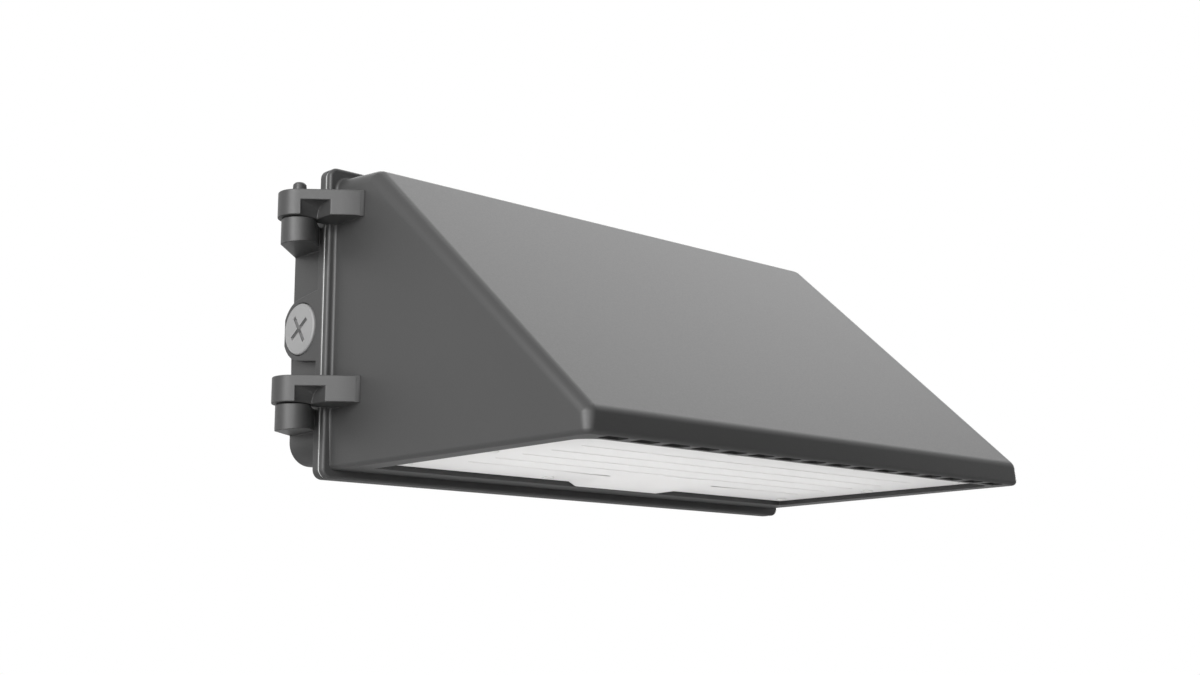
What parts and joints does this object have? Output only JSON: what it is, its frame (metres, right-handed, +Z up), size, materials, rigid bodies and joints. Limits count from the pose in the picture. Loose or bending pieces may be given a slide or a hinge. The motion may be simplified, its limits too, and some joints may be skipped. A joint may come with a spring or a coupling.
{
  "type": "wall pack light",
  "caption": "Cutoff LED wall pack light: finned wedge-shaped cast door with a frosted lens, hinged to a shallow cast wall box.",
  "frame": {"origin": "centre of the back box's rear face, on the wall", "axes": "+Y goes into the wall, +Z is up and +X is to the right for someone who faces the wall"},
  "size_m": [0.3881, 0.2209, 0.16],
  "materials": {
    "grey_paint": "powder coat",
    "plug_zinc": "satin",
    "silicone": "matte",
    "black_rubber": "matte",
    "frosted_lens": "frosted",
    "plated_steel": "plated",
    "green_screw": "painted",
    "board_white": "solder mask",
    "chip_yellow": "phosphor",
    "pad_blue": "soft",
    "driver_can": "mill",
    "terminal_plastic": "moulded",
    "lead_dark": "insulation",
    "lead_red": "insulation"
  },
  "bodies": {
    "box": {"back_box": "grey_paint", "hinge_pin_upper": "grey_paint", "hinge_pin_lower": "grey_paint", "ground_screw": "green_screw"},
    "door": {"door_housing": "grey_paint", "door_gasket": "silicone", "lens": "frosted_lens", "lens_gasket": "black_rubber", "lens_screws": "plated_steel", "led_board_left": "board_white", "led_board_right": "board_white", "leds_left": "chip_yellow", "leds_right": "chip_yellow", "heat_pad_left": "pad_blue", "heat_pad_right": "pad_blue", "board_screws": "plated_steel", "led_driver": "driver_can", "driver_screws": "plated_steel", "terminal_block": "terminal_plastic", "terminal_screws": "plated_steel", "supply_leads": "lead_dark", "wire_grommet": "black_rubber", "lamp_leads": "lead_red"},
    "upper_screw": {"door_screw_upper": "plated_steel", "screw_ring_upper": "black_rubber"},
    "lower_screw": {"door_screw_lower": "plated_steel", "screw_ring_lower": "black_rubber"},
    "left_plug": {"conduit_plug_left": "plug_zinc", "plug_seal_left": "black_rubber"},
    "right_plug": {"conduit_plug_right": "plug_zinc", "plug_seal_right": "black_rubber"}
  },
  "joints": [
    {"name": "door_swing", "type": "hinge", "parent": "box", "child": "door", "pos_m": [-0.188, -0.0345, 0], "axis": [0, 0, -1], "range_deg": [0, 105]},
    {"name": "upper_screw_out", "type": "slide", "parent": "door", "child": "upper_screw", "axis": [0, -1, 0], "range_m": [0, 0.008]},
    {"name": "lower_screw_out", "type": "slide", "parent": "door", "child": "lower_screw", "axis": [0, -1, 0], "range_m": [0, 0.008]},
    {"name": "left_plug_out", "type": "slide", "parent": "box", "child": "left_plug", "axis": [-1, 0, 0], "range_m": [0, 0.015]},
    {"name": "right_plug_out", "type": "slide", "parent": "box", "child": "right_plug", "axis": [1, 0, 0], "range_m": [0, 0.015]}
  ]
}
